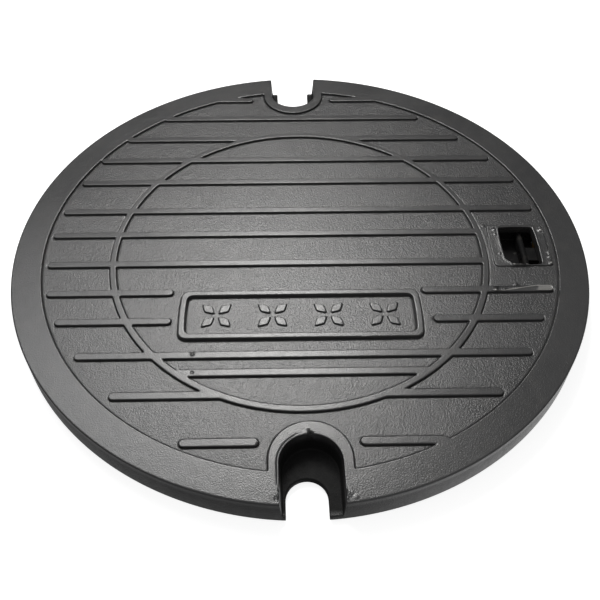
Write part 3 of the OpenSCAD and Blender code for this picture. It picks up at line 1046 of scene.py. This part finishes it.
def soften_edges(piece):
    """Small rounded edges on a CAD node, by modifiers only."""
    weld = piece.modifiers.new("weld", "WELD")
    weld.merge_threshold = 1e-6
    bevel = piece.modifiers.new("bevel", "BEVEL")
    bevel.width, bevel.segments, bevel.limit_method = EDGE_WIDTH, 2, "ANGLE"
    bevel.angle_limit = EDGE_ANGLE
    bevel.use_clamp_overlap = True
    bevel.harden_normals = True


# Where the bolt's guide and its nose pass through the skirt, as opposite corners
SLEEVE_SLOT = ((286, -22, 9.1), (318, 3, 21.3))
BOLT_MOUTH = ((312, -20, 10.2), (330, 1, 20.2))

casting = build_casting()
cut(casting, [block("slot", *SLEEVE_SLOT), block("mouth", *BOLT_MOUTH)])
casting.data.shade_smooth()
casting.data.set_sharp_from_angle(angle=EDGE_ANGLE)
casting.data.materials.append(SLOT_MATERIAL["cast_iron"])
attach(casting, "cover_body")
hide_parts("cover")

for name, slot in SLOT_OF_NODE.items():
    if name != "cover":
        piece = frame["nodes"][name]
        soften_edges(piece)
        for place in piece.material_slots:
            place.material = SLOT_MATERIAL[slot]


# ------------------------------------------------------------------- camera and lights

# The camera: the point that it looks at, how far off it is, and its angles
AIM = Vector((-0.0019, -0.0870, 0.0335))
AIM_DISTANCE = 0.8355
ELEVATION = math.radians(49.91)
AZIMUTH = math.radians(-1.23)
ROLL = math.radians(0.256)

FLOOR_REACH = 6.0
FLOOR_DROP = 0.0003

# How strong the sky's light is: overhead, low down on two sides, and from below
SKY_HIGH = 0.5
SKY_FRONT = 0.3
SKY_BACK = 0.05
SKY_BELOW = 0.26
SKY_BELOW_RIGHT = 0.75


def add_camera():
    """The camera, in front of the cover and looking down at the aim point."""
    flat = math.cos(ELEVATION)
    back = Vector((math.sin(AZIMUTH) * flat, -math.cos(AZIMUTH) * flat, math.sin(ELEVATION)))
    right = Vector((math.cos(AZIMUTH), math.sin(AZIMUTH), 0))
    up = back.cross(right)
    across = right * math.cos(ROLL) + up * math.sin(ROLL)
    above = up * math.cos(ROLL) - right * math.sin(ROLL)
    data = bpy.data.cameras.new("camera")
    data.lens, data.sensor_width, data.clip_start = 46.34, 36, 0.01
    camera = linked("camera", data)
    place = Matrix((across, above, back)).transposed().to_4x4()
    place.translation = AIM + back * AIM_DISTANCE
    camera.matrix_world = place
    bpy.context.scene.camera = camera


def add_light(name, place, aim, size, power, colour=(1, 1, 1)):
    data = bpy.data.lights.new(name, "AREA")
    data.color = colour
    data.shape, data.size, data.size_y, data.energy = "RECTANGLE", *size, power
    lamp = linked(name, data)
    lamp.location = place
    lamp.rotation_euler = (Vector(aim) - Vector(place)).to_track_quat("-Z", "Y").to_euler()


def add_floor():
    """A pale plain floor just under the seat."""
    corners = [(x * FLOOR_REACH, y * FLOOR_REACH, 0) for x, y in ((-1, -1), (1, -1), (1, 1), (-1, 1))]
    mesh = bpy.data.meshes.new("floor")
    mesh.from_pydata(corners, [], [(0, 1, 2, 3)])
    floor = linked("floor", mesh)
    floor.location.z = -FLOOR_DROP
    material = bpy.data.materials.new("floor")
    material.use_nodes = True
    shader = material.node_tree.nodes["Principled BSDF"]
    shader.inputs["Base Color"].default_value = (0.5, 0.5, 0.5, 1)
    shader.inputs["Roughness"].default_value = 0.9
    shader.inputs["Specular IOR Level"].default_value = 0.1
    shader.inputs["Emission Color"].default_value = (1, 1, 1, 1)
    shader.inputs["Emission Strength"].default_value = 0.82
    mesh.materials.append(material)
    floor.visible_glossy = False
    floor.visible_diffuse = False


def add_world():
    """Soft light from all round, dimmer low down at the back and from below.

    The background that the camera sees is plain white.
    """
    world = bpy.data.worlds.new("studio")
    world.use_nodes = True
    tree = world.node_tree
    way = tree.nodes.new("ShaderNodeSeparateXYZ")
    tree.links.new(tree.nodes.new("ShaderNodeTexCoord").outputs["Generated"], way.inputs["Vector"])
    x, y, z = (way.outputs[axis] for axis in "XYZ")
    below = remap_node(tree, x, 0.1, 0.5, SKY_BELOW, SKY_BELOW_RIGHT)
    low = remap_node(tree, y, -0.3, 0.5, SKY_FRONT, SKY_BACK)
    above = mixed_number(tree, remap_node(tree, z, 0.3, 0.95, 0, 1), low, SKY_HIGH)
    light = mixed_number(tree, remap_node(tree, z, -0.12, 0.02, 0, 1), below, above)
    seen = tree.nodes.new("ShaderNodeLightPath").outputs["Is Camera Ray"]
    sky = tree.nodes["Background"]
    tree.links.new(mixed_number(tree, seen, light, 1.0), sky.inputs["Strength"])
    sky.inputs["Color"].default_value = (1, 1, 1, 1)
    bpy.context.scene.world = world


add_camera()
add_floor()
add_world()
add_light("softbox", (-0.06, 0.74, 1.2), (0, 0, 0), (0.36, 0.5), 14.3, (1, 0.99, 0.97))
add_light("side_box", (-0.57, 0.46, 1.2), (-0.15, -0.05, 0), (0.4, 0.7), 5)
bpy.context.scene.view_settings.view_transform = "Standard"
